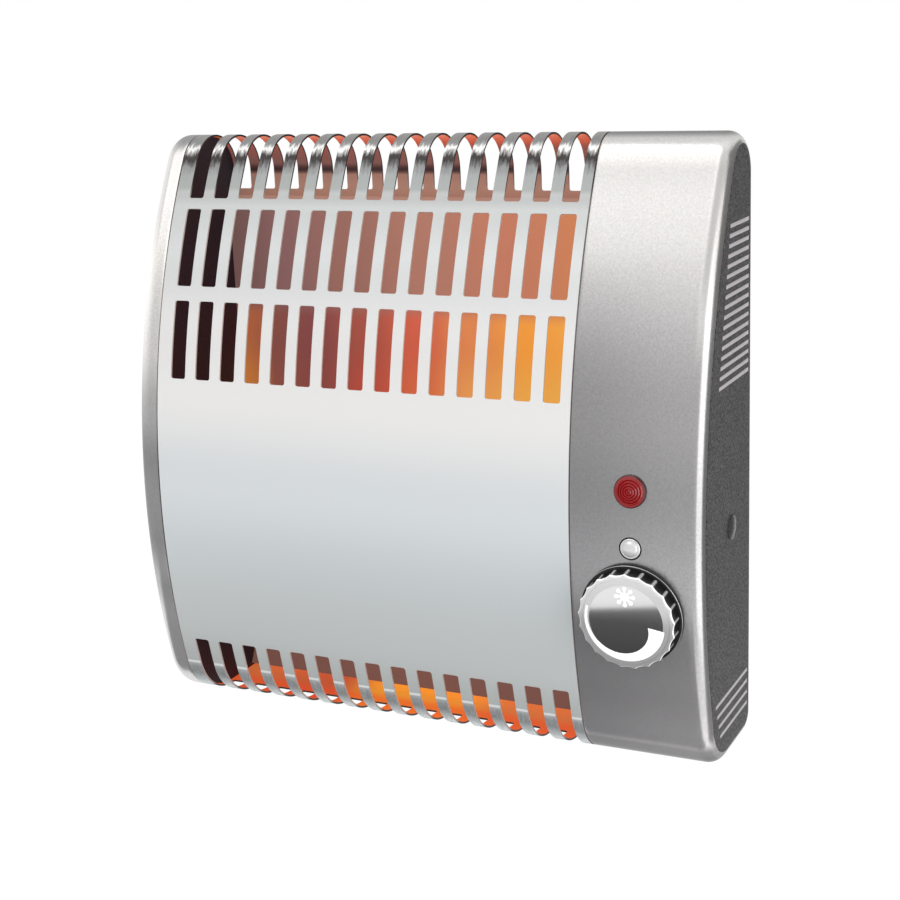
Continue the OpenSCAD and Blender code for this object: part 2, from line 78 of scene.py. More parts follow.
def on_casing(s):
    """Point (y, z) and outward direction, s metres round the casing.

    The way round starts half way up the back, goes over the top and down the front.
    """
    for (centre, radius, first, last), start in zip(bends, bend_starts):
        turn = (s - start) / radius
        if 0.0 <= turn <= last - first:
            a = first + turn
            out = Vector((cos(a), sin(a)))
            return Vector(centre) + radius * out, out
    if s < bend_starts[0]:
        return Vector((0.0, s)), Vector((1.0, 0.0))
    if s < bend_starts[3]:
        return Vector((low_bend[0][0] + s - flat_starts, -half_height)), Vector((0.0, -1.0))
    return Vector((0.0, s - around)), Vector((1.0, 0.0))


def front_at(z):
    """How far round the casing the bowed front reaches height z."""
    centre, radius, first, last = front_bend
    return bend_starts[1] + radius * (pi - asin((z - centre[1]) / radius) - first)


def evenly(a, b, step):
    """Places from a to b, no further apart than step."""
    n = max(1, int((b - a) / step + 0.999))
    return [a + (b - a) * i / n for i in range(n + 1)]


def lin(*rgb):
    """A screen colour, 0 to 255, as the light it stands for."""
    return tuple((c / 255 / 12.92 if c < 10.3 else ((c / 255 + 0.055) / 1.055) ** 2.4)
                 for c in rgb) + (1.0,)


class Wire:
    """The output of a shader node, to be worked with like a number."""

    def __init__(self, tree, socket):
        self.tree = tree
        self.socket = socket

    def node(self, kind, settings, inputs, out=0):
        made = self.tree.nodes.new(kind)
        for name, value in settings.items():
            setattr(made, name, value)
        for name, value in inputs.items():
            if isinstance(value, Wire):
                self.tree.links.new(value.socket, made.inputs[name])
            else:
                made.inputs[name].default_value = value
        return Wire(self.tree, made.outputs[out])

    def math(self, kind, *values):
        return self.node("ShaderNodeMath", {"operation": kind}, dict(enumerate(values)))

    def __add__(self, other):
        return self.math("ADD", self, other)

    def __radd__(self, other):
        return self.math("ADD", other, self)

    def __sub__(self, other):
        return self.math("SUBTRACT", self, other)

    def __rsub__(self, other):
        return self.math("SUBTRACT", other, self)

    def __mul__(self, other):
        return self.math("MULTIPLY", self, other)

    def __rmul__(self, other):
        return self.math("MULTIPLY", other, self)

    def larger(self, other):
        return self.math("MAXIMUM", self, other)

    def root(self):
        return self.math("SQRT", self)

    def rise(self, a, b):
        """0 at a, 1 at b, smooth between and level beyond; a may be the higher one."""
        return self.node("ShaderNodeMapRange", {"interpolation_type": "SMOOTHSTEP"},
                         {"Value": self, "From Min": a, "From Max": b})

    def ramp(self, stops):
        """A colour from a list of (place, red, green, blue), smooth between the places."""
        low, high = stops[0][0], stops[-1][0]
        at = self.node("ShaderNodeMapRange", {}, {"Value": self, "From Min": low,
                                                 "From Max": high})
        made = at.node("ShaderNodeValToRGB", {}, {"Fac": at})
        ramp = made.socket.node.color_ramp
        ramp.interpolation = "EASE"
        while len(ramp.elements) < len(stops):
            ramp.elements.new(0.5)
        for element, (place, *rgb) in zip(ramp.elements, stops):
            element.position = (place - low) / (high - low)
        for element, (place, *rgb) in zip(ramp.elements, stops):
            element.color = lin(*rgb)
        return made

    def mix(self, a, b):
        """Colour a where this is 0 and b where it is 1."""
        return self.node("ShaderNodeMix", {"data_type": "RGBA"}, {0: self, 6: a, 7: b}, 2)

    def times(self, colour):
        """This colour darkened by another."""
        return self.node("ShaderNodeMix", {"data_type": "RGBA", "blend_type": "MULTIPLY"},
                         {0: 1.0, 6: self, 7: colour}, 2)


class Finish:
    """One Principled shader, with the place on the piece that its pattern reads."""

    def __init__(self, name, rgb, rough, metal=0.0, **more):
        self.material = bpy.data.materials.new(name)
        self.material.use_nodes = True
        self.tree = self.material.node_tree
        self.shader = self.tree.nodes["Principled BSDF"]
        self.set("Base Color", lin(*rgb))
        self.set("Roughness", rough)
        self.set("Metallic", metal)
        for key, value in more.items():
            self.set(key.replace("_", " ").title().replace("Ior", "IOR"), value)
        place = self.tree.nodes.new("ShaderNodeTexCoord")
        self.place = Wire(self.tree, place.outputs["Object"])
        split = self.tree.nodes.new("ShaderNodeSeparateXYZ")
        self.tree.links.new(self.place.socket, split.inputs[0])
        self.x, self.y, self.z = (Wire(self.tree, split.outputs[i]) for i in range(3))

    def set(self, name, value):
        if isinstance(value, Wire):
            self.tree.links.new(value.socket, self.shader.inputs[name])
        else:
            self.shader.inputs[name].default_value = value

    def glow(self, colour, strength):
        """A little painted light of its own: light falling on the piece, a highlight, or a
        lamp's own light.
        """
        self.set("Emission Color", colour)
        self.set("Emission Strength", strength)

    def noise(self, scale, detail, stretch=(1.0, 1.0, 1.0)):
        """Grain across the piece, turned so that no face cuts its lattice squarely."""
        where = self.place.node("ShaderNodeMapping", {}, {
            "Vector": self.place, "Scale": stretch, "Rotation": (0.5, 0.6, 0.7)})
        return where.node("ShaderNodeTexNoise", {},
                          {"Vector": where, "Scale": scale, "Detail": detail})


smooth_below = radians(35.0)


def keep(name, bm, body, finishes, stands_for=(), sharp=smooth_below):
    """Turns a finished bmesh into a shown piece that rides on a body."""
    mesh = bpy.data.meshes.new(name)
    bm.to_mesh(mesh)
    bm.free()
    piece = bpy.data.objects.new(name, mesh)
    bpy.context.collection.objects.link(piece)
    for finish in finishes:
        mesh.materials.append(finish.material)
    mesh.shade_smooth()
    mesh.set_sharp_from_angle(angle=sharp)
    if body:
        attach(piece, body)
    if stands_for:
        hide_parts(*stands_for)
    return piece


def settle(piece):
    """Works the piece's modifiers into its mesh."""
    solid = bpy.data.meshes.new_from_object(
        piece.evaluated_get(bpy.context.evaluated_depsgraph_get()))
    piece.modifiers.clear()
    piece.data = solid
    solid.shade_smooth()
    solid.set_sharp_from_angle(angle=smooth_below)


def cut(piece, bm, finish):
    """Takes the closed shape in bm out of the piece; the cut gets a finish of its own."""
    tool = keep("cutter", bm, None, [finish])
    step = piece.modifiers.new("cut", "BOOLEAN")
    step.operation = "DIFFERENCE"
    step.solver = "EXACT"
    step.object = tool
    step.material_mode = "TRANSFER"
    bpy.context.view_layer.update()
    settle(piece)
    bpy.data.objects.remove(tool)


sleeve_x = (-0.1397, 0.0887)
first_slot, slot_pitch, slots_in_a_row = -0.1316, 0.01475, 15
slot_wide, corner = 0.0086, 0.001
slot_xs = [first_slot + slot_pitch * i for i in range(slots_in_a_row)]
# Each row of slots, from its first to its last place round the casing.
slot_rows = [
    (0.120, front_at(0.120)),
    (front_at(0.1148), front_at(0.0771)),
    (front_at(0.0699), front_at(0.0310)),
    (front_at(-0.1120), flat_starts + 0.0015),
]


def in_slot(x, s):
    return any(a < x < a + slot_wide for a in slot_xs) and any(
        a < s < b for a, b in slot_rows)


def sheet_lines():
    """Where the flat sheet is divided, across and along."""
    across = [x + d for x in slot_xs
              for d in (0.0, corner, slot_wide - corner, slot_wide)]
    along = [s + d for a, b in slot_rows for s, d in
             ((a, 0.0), (a, corner), (b, -corner), (b, 0.0))]
    stops = sorted(along + bend_starts + [flat_starts] + [
        start + r * (b - a) for (c, r, a, b), start in zip(bends, bend_starts)])
    flat_step, bow_step, bend_step = 0.03, 0.004, 0.0016
    fine = []
    for a, b in zip([0.0] + stops, stops + [around]):
        mid = 0.5 * (a + b)
        if mid < bend_starts[0] or flat_starts < mid < bend_starts[3] or mid > stops[-1]:
            step = flat_step
        elif front_at(0.139) < mid < front_at(-0.127):
            step = bow_step
        else:
            step = bend_step
        if b - a > 1e-5:
            fine += evenly(a, b, step)[1:]
    return across, sorted(set(round(s, 6) for s in fine if 1e-4 < s < around - 1e-4))


def punched_sheet():
    """The sheet laid out flat in X and Z, punched, then rolled round the casing."""
    bm = bmesh.new()
    left, right = sleeve_x
    bm.faces.new([bm.verts.new((x, 0.0, s)) for x, s in
                  ((left, 0.0), (right, 0.0), (right, around), (left, around))])
    across, along = sheet_lines()
    for place, way in [((x, 0, 0), (1, 0, 0)) for x in across] + [
            ((0, 0, s), (0, 0, 1)) for s in along]:
        bmesh.ops.bisect_plane(bm, geom=bm.verts[:] + bm.edges[:] + bm.faces[:],
                               plane_co=place, plane_no=way, dist=1e-7)

    gone, corners = [], []
    near = corner * 0.6
    for face in bm.faces:
        mid = face.calc_center_median()
        if not in_slot(mid.x, mid.z):
            continue
        at_side = any(abs(mid.x - a - e) < near for a in slot_xs
                      for e in (corner / 2, slot_wide - corner / 2))
        at_end = any(abs(mid.z - e) < near for a, b in slot_rows
                     for e in (a + corner / 2, b - corner / 2))
        if at_side and at_end:
            corners.append((face, mid.copy()))
        else:
            gone.append(face)
    bmesh.ops.delete(bm, geom=gone, context="FACES")

    # The little square left in each corner of a slot shrinks to a rounded fillet.
    pulled_in, fillet = 1.4, 0.0003
    rounded = []
    for face, mid in corners:
        inner = min((v for v in face.verts), key=lambda v: len(v.link_faces))
        inner.co = inner.co + (mid - inner.co) * pulled_in
        rounded.append(inner)
    bmesh.ops.bevel(bm, geom=rounded, offset=fillet, offset_type="OFFSET",
                    segments=2, profile=0.5, affect="VERTICES", material=-1)

    for v in bm.verts:
        point, out = on_casing(v.co.z)
        v.co = (v.co.x, point.x, point.y)
    bmesh.ops.remove_doubles(bm, verts=bm.verts, dist=1e-6)
    bmesh.ops.recalc_face_normals(bm, faces=bm.faces)
    face = max(bm.faces, key=lambda f: f.calc_area())
    at = face.calc_center_median()
    if face.normal.y * (at.y + depth / 2) + face.normal.z * at.z < 0:
        bmesh.ops.reverse_faces(bm, faces=bm.faces)
    return bm


# The sleeve's tone is painted by height. Down the bow it carries soft painted reflections.
# Over the crest and under the front, where the sheet is bent tightly, it carries streaked
# painted reflections, a dark band and a bright glint, on metal made more metallic there;
# and a glow paints a bright highlight line where the bend begins.
sleeve_paint = Finish("sleeve paint", (226, 231, 235), 0.36, 0.35, ior=1.5)
z = sleeve_paint.z
reflection_mottle = sleeve_paint.noise(300.0, 3.0, (2.4, 0.5, 0.5)).rise(0.34, 0.66)
streaked = z.rise(0.124, 0.132).larger(z.rise(-0.126, -0.132))
reflection_streaks = z + (reflection_mottle - 0.5) * streaked * 0.0021
# Tones by height: painted reflections on the bow, the crest and under the front.
bow_painted_reflections = z.ramp([
    (-0.125, 226, 231, 229), (-0.105, 238, 243, 242), (-0.055, 226, 232, 234),
    (-0.020, 235, 240, 242), (0.020, 255, 254, 253), (0.055, 246, 245, 244),
    (0.090, 219, 221, 221), (0.115, 194, 197, 196)])
crest_painted_reflections = reflection_streaks.ramp([
    (0.1150, 194, 197, 196), (0.1225, 174, 176, 175), (0.1255, 153, 156, 154),
    (0.1310, 149, 152, 151), (0.1345, 132, 134, 133), (0.1370, 92, 90, 90),
    (0.1388, 54, 50, 50), (0.1404, 62, 58, 58), (0.1418, 140, 138, 136),
    (0.1440, 236, 236, 234), (0.1464, 156, 156, 156), (0.1500, 172, 170, 166)])
wrap_painted_reflections = reflection_streaks.ramp([
    (-0.1500, 196, 200, 200), (-0.1475, 150, 155, 155), (-0.1440, 226, 232, 234),
    (-0.1385, 186, 192, 194), (-0.1350, 172, 177, 178), (-0.1310, 208, 213, 214),
    (-0.1280, 240, 243, 243), (-0.1240, 226, 231, 229)])
paint_with_painted_light = z.rise(0.1155, 0.1175).mix(bow_painted_reflections, crest_painted_reflections)
paint_with_painted_light = z.rise(-0.1245, -0.1265).mix(paint_with_painted_light, wrap_painted_reflections)
sleeve_paint.set("Base Color", paint_with_painted_light)
polished = z.rise(0.119, 0.124).larger(z.rise(-0.124, -0.130))
sleeve_paint.set("Metallic", polished * 0.35 + 0.35)
# A glow paints a thin bright highlight line where the lower bend begins.
painted_highlight_line = z.rise(-0.1280, -0.1272) * z.rise(-0.1258, -0.1268)
sleeve_paint.glow(painted_highlight_line.mix(lin(0, 0, 0), lin(255, 255, 255)), 0.28)

# The inside is left unpainted. Its colours are painted light, the warm glow of the element
# behind it with bands of painted shade, and it glows although it is no lamp.
sleeve_inside = Finish("sleeve inside", (170, 120, 90), 0.45, 0.3)
brown = (122, 88, 79)
foot_painted_light = sleeve_inside.x.ramp([
    (-0.133, 214, 112, 62), (-0.075, 196, 92, 58), (-0.045, 238, 158, 52),
    (0.000, 240, 152, 56), (0.030, 218, 122, 66), (0.089, 212, 116, 70)])
bottom_painted_light = (sleeve_inside.y.rise(-0.027, -0.037) * 0.58).mix(foot_painted_light, lin(238, 80, 38))
sides_painted_light = sleeve_inside.z.ramp([
    (-0.136, *brown), (0.100, 150, 110, 98), (0.121, 168, 130, 114),
    (0.1275, 160, 122, 108), (0.1295, 58, 40, 42), (0.1310, 66, 44, 44),
    (0.1340, 132, 92, 86), (0.141, 160, 100, 90), (0.1455, 226, 104, 70),
    (0.150, 240, 128, 84)])
low = sleeve_inside.z.rise(-0.134, -0.136)
sleeve_inside.set("Base Color", low.mix(sides_painted_light, bottom_painted_light))
sleeve_inside.glow(low.mix(sides_painted_light.times(lin(206, 206, 206)), bottom_painted_light), 0.7)

cut_edge = Finish("cut edge of the sleeve", (206, 202, 196), 0.4, 0.2)
# The cut edges are pale along the bow and painted dark, as painted shade, over the crest and
# under the front.
cut_edge.set("Base Color", cut_edge.z.ramp([
    (-0.150, 70, 58, 54), (-0.1455, 90, 78, 74), (-0.142, 214, 208, 202),
    (0.119, 214, 210, 204), (0.128, 70, 62, 60), (0.150, 60, 50, 50)]))

sleeve = keep("slotted_sleeve", punched_sheet(), "casing",
              [sleeve_paint, sleeve_inside, cut_edge], ["grille_sleeve"])
sheet = sleeve.modifiers.new("sheet", "SOLIDIFY")
sheet.thickness = sheet_thick
sheet.offset = -1.0
sheet.material_offset = 1
sheet.material_offset_rim = 2
sheet.use_even_offset = False
settle(sleeve)


def through_rings(rings):
    """A closed solid drawn from one ring of points to the next."""
    bm = bmesh.new()
    number = bm.verts.layers.int.new("place")
    loop = [bm.verts.new(point) for point in rings[0]]
    for i, v in enumerate(loop):
        v[number] = i
    first = edges = [bm.edges.new(pair) for pair in zip(loop, loop[1:] + loop[:1])]
    for ring in rings[1:]:
        made = bmesh.ops.extrude_edge_only(bm, edges=edges)["geom"]
        fresh = {g for g in made if isinstance(g, bmesh.types.BMVert)}
        for v in fresh:
            v.co = ring[v[number]]
        edges = [g for g in made if isinstance(g, bmesh.types.BMEdge)
                 and g.verts[0] in fresh and g.verts[1] in fresh]
    for ends in (first, edges):
        bmesh.ops.edgeloop_fill(bm, edges=ends)
    bmesh.ops.recalc_face_normals(bm, faces=bm.faces)
    return bm


hang_xs, hang_z = (-0.105, 0.055), 0.090


def keyhole_cutter(x):
    """Round entry for the screw's head, and above it the narrow way for its shank."""
    entry_r, shank_r, climb, reach = 0.0045, 0.0025, 0.010, 0.004
    first = asin(shank_r / entry_r)
    outline = [(entry_r * sin(a), entry_r * cos(a)) for a in
               [first + (tau - 2 * first) * i / 40 for i in range(41)]]
    outline += [(shank_r * cos(a), climb + shank_r * sin(a)) for a in
                [pi - pi * i / 16 for i in range(17)]]
    return through_rings([[(x + a, y, hang_z + b) for a, b in outline]
                          for y in (-reach, reach)])


for x in hang_xs:
    cut(sleeve, keyhole_cutter(x), cut_edge)
# A hair's breadth of round on every cut edge, so that it catches the light.
rounding = sleeve.modifiers.new("rounding", "BEVEL")
rounding.width = 0.00016
rounding.segments = 2
rounding.limit_method = "ANGLE"
rounding.angle_limit = smooth_below
rounding.harden_normals = True
rounding.use_clamp_overlap = True


# Ends of the casing.
# Two hollow mouldings, a narrow cap at the left and the control housing at the right,
# in silver lacquer. A lip on each slides under the sleeve and takes two screws.
def around_the_rim():
    """Places round the outline: every bend divided finely, straights at their ends."""
    straight_step, bend_steps = 0.05, (0.0012, 0.004, 0.0016, 0.0012)
    places = evenly(0.0, bend_starts[0], straight_step)[:-1]
    for (centre, r, a, b), start, step in zip(bends, bend_starts, bend_steps):
        places += evenly(start, start + r * (b - a), step)[:-1]
        if start == bend_starts[2]:
            places += [flat_starts]
    places += evenly(bend_starts[3] + back_r * pi / 2, around, straight_step)[:-1]
    return [on_casing(s) for s in sorted(set(round(p, 7) for p in places))]


rim_places = around_the_rim()


def end_moulding(x0, side, wide, lip):
    """An end drawn through its rings: (how far in from the outline, how far across)."""
    wall, edge_r, ledge = 0.0025, 0.007, 0.003
    lip_outside, lip_inside = 0.00115, 0.00345
    quarter = [pi / 2 * i / 8 for i in range(9)]
    inner_r = edge_r - wall
    rings = [(edge_r - inner_r * sin(a), wide - edge_r + inner_r * cos(a)) for a in quarter]
    rings += [(wall, ledge), (lip_inside, ledge), (lip_inside, -lip), (lip_outside, -lip),
              (lip_outside, 0.0), (0.0003, 0.0), (0.0001, 0.0001), (0.0, 0.0003),
              (0.0, 0.0015), (0.0, (wide - edge_r) / 2), (0.0, wide - edge_r - 0.001)]
    rings += [(edge_r - edge_r * cos(a), wide - edge_r + edge_r * sin(a)) for a in quarter]
    rings += [(edge_r + 0.003, wide)]
    return through_rings([[(x0 + side * far, *(point - out * deep))
                           for point, out in rim_places] for deep, far in rings])


# The lacquer is fine-grained. Its tone is painted by height as painted shade and reflection,
# and on the housing painted shade darkens it a little towards the sleeve; a glow paints
# highlights on the turned edges, which come out the brightest.
silver = Finish("silver lacquer", (208, 208, 206), 0.25, 0.85)
x, z = silver.x, silver.z
grain = silver.noise(1050.0, 4.0).rise(0.32, 0.68)
front_painted_light = z.ramp([
    (-0.150, 104, 103, 104), (-0.145, 92, 91, 92), (-0.138, 150, 148, 148),
    (-0.131, 246, 244, 244), (-0.105, 226, 224, 224), (-0.070, 200, 199, 200),
    (-0.022, 180, 179, 180), (0.030, 204, 202, 202), (0.068, 222, 220, 220),
    (0.095, 194, 192, 190), (0.120, 196, 194, 192), (0.134, 190, 188, 186),
    (0.141, 208, 206, 203), (0.1458, 255, 254, 251), (0.1476, 250, 249, 246),
    (0.149, 196, 195, 195), (0.150, 110, 109, 110)])
cap_painted_light = z.ramp([
    (-0.100, 240, 238, 238), (-0.080, 205, 204, 204), (-0.055, 152, 152, 152),
    (-0.015, 160, 160, 160), (0.015, 206, 205, 205), (0.045, 245, 243, 241),
    (0.085, 255, 252, 248), (0.115, 214, 211, 209), (0.143, 208, 206, 203),
    (0.150, 178, 178, 180)])
shade_towards_sleeve = x.rise(0.150, 0.085) * z.rise(0.100, 0.050)
front_painted_light = front_painted_light.times(shade_towards_sleeve.mix(lin(255, 255, 255), lin(226, 226, 227)))
ends_painted_light = x.rise(-0.10, 0.05).mix(cap_painted_light, front_painted_light)
silver.set("Base Color", ends_painted_light.times(grain.mix(lin(242, 242, 242), lin(255, 255, 255))))
# Painted highlights: the cap's edge and the housing's front edges glow.
cap_edge_highlight = x.rise(-0.1440, -0.1495) * z.rise(-0.01, 0.075) * z.rise(0.150, 0.140)
upper_edge_highlight = x.rise(0.1455, 0.1475) * x.rise(0.1512, 0.1500) * z.rise(
    0.045, 0.075) * z.rise(0.148, 0.142)
turned_edge_highlight = x.rise(0.1508, 0.1520)
painted_sheen = cap_edge_highlight + upper_edge_highlight * 0.5 + turned_edge_highlight * 0.15
silver.glow(painted_sheen.mix(lin(0, 0, 0), lin(255, 252, 248)), 0.42)

# The side wall is painted darker than the front as painted shade, under a fine speckle.
side_silver_painted_shade = Finish("silver lacquer of the side in painted shade", (96, 96, 97), 0.5, 0.3)
speckle = side_silver_painted_shade.noise(1000.0, 4.0).rise(0.34, 0.66)
side_silver_painted_shade.set("Base Color", speckle.mix(lin(52, 52, 53), lin(122, 121, 122)))

side_x, seam = 0.153, 0.0006
cap_x, housing_x = sleeve_x[0] - seam, sleeve_x[1] + seam
cap_lip, housing_lip = 0.0061, 0.005
keep("left_end_moulding", end_moulding(cap_x, -1, side_x + cap_x, cap_lip), "casing",
     [silver], ["left_end_cap"])
housing = keep("control_moulding",
               end_moulding(housing_x, 1, side_x - housing_x, housing_lip), "casing",
               [silver], ["control_housing"])

control_x = 0.1189
on_front = {}
for name, z in (("knob", -0.0657), ("stud", -0.0335), ("lamp", -0.0065)):
    tilt = asin((z - front_bend[0][1]) / front_r)
    at = Vector((control_x, front_bend[0][0] - front_r * cos(tilt), z))
    on_front[name] = Matrix.Translation(at) @ Matrix.Rotation(pi / 2 - tilt, 4, "X")


def drill(holes, finish):
    """Cuts round holes (place, radius, from, to along the place's Z) into the housing."""
    bm = bmesh.new()
    for place, r, low, high in holes:
        bmesh.ops.create_cone(
            bm, cap_ends=True, segments=64, radius1=r, radius2=r, depth=high - low,
            matrix=place @ Matrix.Translation((0, 0, (low + high) / 2)))
    bmesh.ops.recalc_face_normals(bm, faces=bm.faces)
    cut(housing, bm, finish)


# Holes for the bush, the lamp, the side plug and the gland, then the stud's counterbore
# and the hole for its stem.
bush_hole, lamp_hole, plug_hole, gland_hole = 0.0052, 0.0067, 0.00495, 0.0065
stud_seat, stud_stem, seat_deep = 0.0055, 0.0021, 0.0008
inside, outside = -0.008, 0.004
plug_place = Matrix.Translation((side_x, -0.0372, -0.0333)) @ Matrix.Rotation(pi / 2, 4, "Y")
gland_place = Matrix.Translation((0.120, -0.020, -half_height))
drill([(on_front["knob"], bush_hole, inside, outside),
       (on_front["lamp"], lamp_hole, inside, outside),
       (plug_place, plug_hole, -0.006, outside),
       (gland_place, gland_hole, -0.001, 0.007)], silver)
seat_dark = Finish("shadow in the stud's seat", (36, 36, 38), 0.8)
drill([(on_front["stud"], stud_seat, -seat_deep, outside)], seat_dark)
drill([(on_front["stud"], stud_stem, inside, 0.0)], silver)


def louvre_cutter():
    """All 21 slots of the side wall, each rising inwards so that water runs out."""
    bm = bmesh.new()
    back, wide, tall, rise, through = -0.0093, 0.0046, 0.0018, 0.64, 0.0012
    # Height and front end of each slot: 17 above the side plug, 4 below it.
    rows = [(0.109 - 0.00448 * i, -0.0393 - 0.0011 * i) for i in range(17)]
    rows += [(-0.1156 - 0.0058 * i, -0.0621 + 0.0024 * i) for i in range(4)]
    slope = Matrix.Identity(4)
    slope[2][0] = -rise
    for z, front in rows:
        bmesh.ops.create_cube(bm, size=1.0, matrix=(
            Matrix.Translation((side_x, (front + back) / 2, z)) @ slope
            @ Matrix.Translation((-through, 0, 0))
            @ Matrix.Diagonal((wide, back - front, tall, 1.0))))
    bmesh.ops.recalc_face_normals(bm, faces=bm.faces)
    return bm


# The walls inside the side slots are painted pale and glow: painted light.
slot_painted_light = Finish("painted light inside the side slots", (196, 192, 194), 0.5, 0.1)
slot_painted_light.glow(lin(255, 250, 252), 0.16)
cut(housing, louvre_cutter(), slot_painted_light)
housing.data.materials.append(side_silver_painted_shade.material)
for face in housing.data.polygons:
    if face.material_index == 0 and face.normal.x > 0.985 and face.center.x > side_x - 0.001:
        face.material_index = len(housing.data.materials) - 1


# Heater.
# A finned, steel-sheathed hairpin in ceramic bushes, between two stamped plates and with a
# disc cut-out to guard it. The sheet behind it is painted with the element's warm light,
# in tones that vary by place, and glows although it is no lamp.
def dress(finish, *names):
    """Gives a finish to CAD nodes, which keep their own mesh."""
    for name in names:
        node = nodes[name]
        if not node.material_slots:
            node.data.materials.append(finish.material)
        for place in node.material_slots:
            place.material = finish.material


def uneven(scale, share, rough, *finishes):
    """Lets the colour and gloss of finishes wander a little, as on a real skin."""
    for finish in finishes:
        patches = finish.noise(scale, 3.0).rise(0.32, 0.68)
        colour = tuple(finish.shader.inputs["Base Color"].default_value)
        darker = tuple(c * (1.0 - share) for c in colour[:3]) + (1.0,)
        gloss = finish.shader.inputs["Roughness"].default_value
        finish.set("Base Color", patches.mix(darker, colour))
        finish.set("Roughness", patches * -rough + (gloss + rough / 2))


# The shield's tones are painted light, the element's warm glow, and brown at the bottom.
glowing_shield = Finish("shield in painted glow", (150, 100, 80), 0.5, 0.4)
x, z = glowing_shield.x, glowing_shield.z
upper = x.ramp([
    (-0.133, 120, 90, 86), (-0.100, 134, 98, 96), (-0.064, 147, 104, 94),
    (-0.015, 168, 118, 102), (0.030, 188, 122, 97), (0.089, 208, 134, 84)])
middle = x.ramp([
    (-0.133, 190, 112, 66), (-0.119, 176, 100, 70), (-0.112, 138, 83, 73),
    (-0.084, 134, 75, 74), (-0.055, 164, 84, 71), (-0.023, 206, 98, 75),
    (0.008, 220, 138, 84), (0.040, 239, 160, 66), (0.089, 240, 184, 92)])
brightest_glow = x.ramp([
    (-0.133, 210, 132, 62), (-0.119, 196, 118, 66), (-0.111, 146, 86, 73),
    (-0.084, 142, 78, 72), (-0.052, 190, 84, 68), (-0.023, 216, 110, 74),
    (0.008, 234, 164, 92), (0.040, 240, 178, 82), (0.089, 242, 190, 98)])
painted_glow = z.rise(0.042, 0.012).mix(middle, brightest_glow)
painted_glow = z.rise(0.052, 0.063).mix(painted_glow, upper)
painted_glow = z.rise(0.109, 0.114).mix(painted_glow, lin(166, 128, 114))
painted_glow = z.rise(-0.060, -0.110).mix(painted_glow, lin(*brown))
glowing_shield.set("Base Color", painted_glow)
glowing_shield.glow(painted_glow, 0.62)
dress(glowing_shield, "heat_shield")

# The left end plate is painted near black as painted shade inside the casing, with a faint
# painted glow.
end_plate_painted_shade = Finish("end plate in painted shade", (26, 16, 24), 0.6)
end_plate_painted_shade.glow(lin(41, 26, 36), 0.3)
zinc = Finish("zinc plate", (176, 178, 180), 0.35, 0.9)
sheath = Finish("element sheath", (110, 84, 74), 0.4, 0.7)
fins = Finish("element fins", (150, 112, 92), 0.4, 0.6)
ceramic = Finish("steatite", (226, 220, 206), 0.5)
bakelite = Finish("bakelite", (70, 46, 34), 0.4)
uneven(420.0, 0.30, 0.16, sheath)
uneven(900.0, 0.16, 0.12, fins, zinc)
uneven(1100.0, 0.24, 0.14, bakelite, end_plate_painted_shade)
uneven(700.0, 0.07, 0.10, ceramic)
dress(end_plate_painted_shade, "left_end_plate")
dress(zinc, "partition_plate", "element_bracket", "element_terminals")
dress(sheath, "heating_element")
dress(fins, "element_fins")
dress(ceramic, "element_insulators")
dress(bakelite, "thermal_cutout")


# Thermostat and its sensor.
# A nylon-cased thermostat behind the panel, held by a nut on its threaded bush. A copper
# bulb in two clips behind the lower side slots feels the air of the room.
nylon = Finish("white nylon", (226, 226, 222), 0.4)
copper = Finish("copper", (206, 130, 94), 0.35, 0.9)
uneven(700.0, 0.07, 0.10, nylon)
uneven(420.0, 0.30, 0.16, copper)
dress(nylon, "thermostat_body", "sensor_clips")
dress(zinc, "bush_nut", "thermostat_spindle")
dress(copper, "air_sensor")


# Mains terminals.
# A nylon block with six brass screws on the back of the housing, the earth stud beside
# it, the insulated leads between them, and a rubber grommet pressed into the underside.
brass = Finish("brass", (206, 176, 110), 0.35, 0.9)
rubber = Finish("black rubber", (34, 34, 36), 0.6)
red_wire = Finish("red wire", (150, 40, 36), 0.5)
uneven(900.0, 0.16, 0.12, brass)
uneven(1100.0, 0.24, 0.14, rubber)
uneven(700.0, 0.07, 0.10, red_wire)
dress(nylon, "terminal_block")
dress(brass, "terminal_screws", "earth_stud")
dress(rubber, "cable_gland")
dress(red_wire, "lead_set")


# Side plug and end screws.
# A round grey plug snapped into the side wall of the housing, and the four zinc-plated
# screws that go through the sleeve into the bosses of both ends.
plug_grey = Finish("side plug", (98, 98, 100), 0.3, 0.4)
uneven(1100.0, 0.24, 0.14, plug_grey)
dress(plug_grey, "side_plug")
dress(zinc, "end_screws")


# Thermostat knob.
# A black phenolic body with 21 grip crests and a bright pressed face, seated on the
# thermostat's spindle. It turns with the spindle through 264 degrees.
crests, steps_per_crest = 21, 10
body_r, face_r, hollow_deep = 0.0234, 0.0236, 0.0009
seat = on_front["knob"]


def crest_ring(r, w):
    """One ring of the knob's outline at height w, its crests out at r."""
    half = pi / crests
    climb = r * cos(half) - (r - hollow_deep)
    chord = r * sin(half)
    hollow = (chord * chord + climb * climb) / (2 * climb)
    centre = r - hollow_deep + hollow
    ring = []
    for i in range(crests * steps_per_crest):
        a = pi / 2 + (i / steps_per_crest) * 2 * half
        off = ((i % steps_per_crest) / steps_per_crest - 0.5) * 2 * half
        b = centre * sin(off)
        far = centre * cos(off) - (hollow * hollow - b * b) ** 0.5
        ring.append(seat @ Vector((far * cos(a), far * sin(a), w)))
    return ring


def round_ring(r, w):
    count = crests * steps_per_crest
    return [seat @ Vector((r * cos(pi / 2 + tau * i / count),
                           r * sin(pi / 2 + tau * i / count), w)) for i in range(count)]


def from_axis(place, face):
    """How far a face's middle lies from the axis of a place, and how high above it."""
    at = place.inverted() @ Vector(face.center)
    return at.xy.length, at.z


